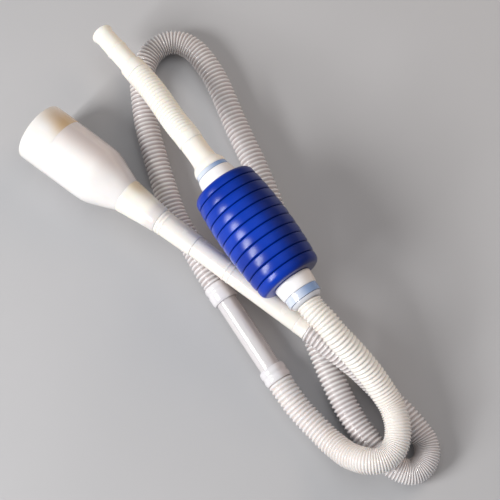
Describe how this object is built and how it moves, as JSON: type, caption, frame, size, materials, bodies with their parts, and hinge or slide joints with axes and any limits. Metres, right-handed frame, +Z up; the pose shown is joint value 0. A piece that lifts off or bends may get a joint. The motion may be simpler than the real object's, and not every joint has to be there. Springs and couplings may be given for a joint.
{
  "type": "gravel vacuum siphon",
  "caption": "Aquarium gravel vacuum siphon: clear bell on a rigid wand, corrugated hose, straight joiner, ringed squeeze bulb with a check valve at each end, and an outlet spout.",
  "frame": {"origin": "centre of the assembly's bounding box without its two free hoses, on the surface it lies on", "axes": "+Z up from the surface; the wand runs from the bell at -X +Y towards +X -Y, and the outlet spout points to -X +Y"},
  "size_m": [0.3546, 0.4037, 0.0983],
  "materials": {
    "bell_plastic": "clear, slightly milky, smooth",
    "band_plastic": "clear, slightly milky, smooth",
    "cream_plastic": "moulded, warm white, satin",
    "wand_plastic": "moulded, white, glossy",
    "fitting_plastic": "moulded, white, satin",
    "hose_plastic": "corrugated, translucent, glossy",
    "outlet_hose_plastic": "corrugated, milky",
    "bulb_plastic": "soft, glossy blue",
    "valve_plastic": "translucent pale blue",
    "flap_rubber": "soft, matt",
    "seal_rubber": "soft, matt",
    "pin_steel": "plain"
  },
  "bodies": {
    "root": {"neck_collar": "cream_plastic", "bell_seal": "seal_rubber", "wand_upper_tube": "wand_plastic", "wand_lower_tube": "wand_plastic", "wand_hose_cuff": "fitting_plastic", "main_hose": "hose_plastic", "joiner_cuff_a": "fitting_plastic", "joiner_tube": "wand_plastic", "joiner_cuff_b": "fitting_plastic", "inlet_hose": "hose_plastic", "inlet_hose_barb": "fitting_plastic", "inlet_collar": "fitting_plastic", "inlet_gasket": "seal_rubber", "inlet_valve_body": "valve_plastic", "inlet_flap_pin": "pin_steel", "bulb": "bulb_plastic"},
    "bell": {"bell_tube": "bell_plastic", "mouth_band": "band_plastic"},
    "inlet_flap": {"inlet_flap": "flap_rubber"},
    "outlet_end": {"outlet_collar": "fitting_plastic", "outlet_gasket": "seal_rubber", "outlet_valve_body": "valve_plastic", "outlet_flap_pin": "pin_steel", "outlet_nipple": "cream_plastic", "outlet_hose": "outlet_hose_plastic", "spout_cuff": "cream_plastic", "outlet_spout": "cream_plastic"},
    "outlet_flap": {"outlet_flap": "flap_rubber"}
  },
  "joints": [
    {"name": "bulb_squeeze", "type": "slide", "parent": "root", "child": "outlet_end", "axis": [0.5721, -0.8201, 0], "range_m": [0, 0.03], "stiffness_N_per_m": 1200, "deforming": ["bulb"]},
    {"name": "bell_pull", "type": "slide", "parent": "root", "child": "bell", "axis": [-0.7929, 0.6084, -0.0323], "range_m": [0, 0.02]},
    {"name": "inlet_flap_hinge", "type": "hinge", "parent": "root", "child": "inlet_flap", "pos_m": [0.10647, -0.08367, 0.0738], "axis": [0.8201, 0.5721, 0], "range_deg": [0, 55], "stiffness_Nm_per_rad": 0.0005},
    {"name": "outlet_flap_hinge", "type": "hinge", "parent": "outlet_end", "child": "outlet_flap", "pos_m": [0.04726, 0.00122, 0.0738], "axis": [0.8201, 0.5721, 0], "range_deg": [0, 55], "stiffness_Nm_per_rad": 0.0005}
  ]
}
